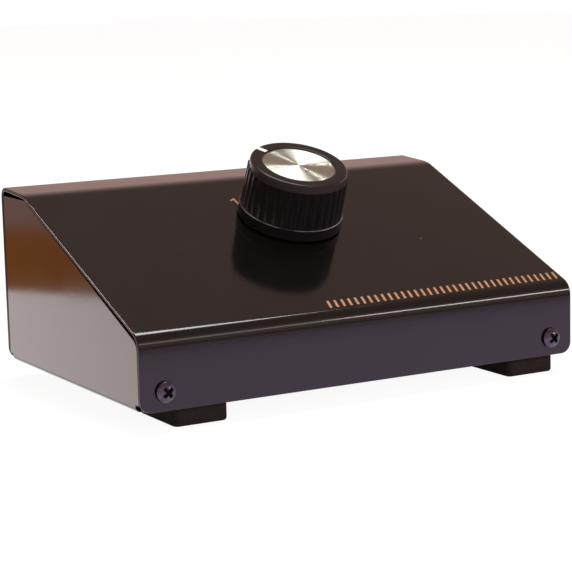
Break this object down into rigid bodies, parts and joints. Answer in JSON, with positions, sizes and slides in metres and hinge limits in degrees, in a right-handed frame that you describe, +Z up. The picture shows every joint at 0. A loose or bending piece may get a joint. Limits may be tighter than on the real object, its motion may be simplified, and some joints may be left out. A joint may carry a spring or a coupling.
{
  "type": "audio source selector",
  "caption": "Sloped sheet-metal box with a fluted rotary knob that connects one of several stereo phono inputs to one output.",
  "frame": {"origin": "on the surface it stands on, under the middle of the whole object, screw heads and sockets included", "axes": "+X to the right along the width, +Y towards the rear sockets, +Z up; the sloped front faces -Y"},
  "size_m": [0.15, 0.1096, 0.0728],
  "materials": {
    "case_paint": "gloss dark brown stove enamel on folded steel",
    "screw_black": "black oxide steel",
    "foot_rubber": "dense cellular rubber, cut and self-adhesive",
    "knob_black": "moulded black phenolic-look plastic",
    "spun_aluminium": "spun, fine circular lines",
    "pointer_white": "white paint in a moulded groove",
    "spring_steel": "spring steel",
    "nickel": "nickel plate",
    "brass": "turned brass",
    "switch_black": "moulded glass-filled nylon",
    "rotor_cream": "moulded acetal",
    "laminate": "brown paper laminate board",
    "tinned": "tinned brass and copper",
    "insulator_white": "moulded white plastic",
    "insulator_red": "moulded red plastic",
    "wire_white": "white PVC insulation",
    "wire_red": "red PVC insulation"
  },
  "bodies": {
    "case": {"top_cover": "case_paint", "chassis": "case_paint", "cover_screws": "screw_black", "foot_front_left": "foot_rubber", "foot_front_right": "foot_rubber", "foot_rear_left": "foot_rubber", "foot_rear_right": "foot_rubber", "switch_nut": "nickel", "lock_washer": "nickel", "stop_ring": "nickel", "switch_bushing": "brass", "switch_housing": "switch_black", "switch_base": "laminate", "position_terminals": "tinned", "common_terminals": "tinned", "input_1_plate": "laminate", "input_2_plate": "laminate", "input_3_plate": "laminate", "output_plate": "laminate", "input_1_barrels": "nickel", "input_2_barrels": "nickel", "input_3_barrels": "nickel", "output_barrels": "nickel", "input_1_contacts": "tinned", "input_2_contacts": "tinned", "input_3_contacts": "tinned", "output_contacts": "tinned", "input_1_ground_strip": "tinned", "input_2_ground_strip": "tinned", "input_3_ground_strip": "tinned", "output_ground_strip": "tinned", "left_insulators": "insulator_white", "right_insulators": "insulator_red", "plate_rivets": "nickel", "ground_wire": "tinned", "input_1_left_wire": "wire_white", "input_2_left_wire": "wire_white", "input_3_left_wire": "wire_white", "output_left_wire": "wire_white", "input_1_right_wire": "wire_red", "input_2_right_wire": "wire_red", "input_3_right_wire": "wire_red", "output_right_wire": "wire_red"},
    "dial": {"knob_body": "knob_black", "knob_insert": "spun_aluminium", "knob_pointer": "pointer_white", "knob_spring": "spring_steel", "switch_shaft": "nickel", "switch_rotor": "rotor_cream", "rotor_contacts": "brass", "detent_balls": "spring_steel", "detent_springs": "spring_steel"}
  },
  "joints": [
    {"name": "knob_turn", "type": "hinge", "parent": "case", "child": "dial", "pos_m": [0.004, 0.00028, 0.04939], "axis": [0, -0.3774, 0.9261], "range_deg": [-60, 0]}
  ]
}
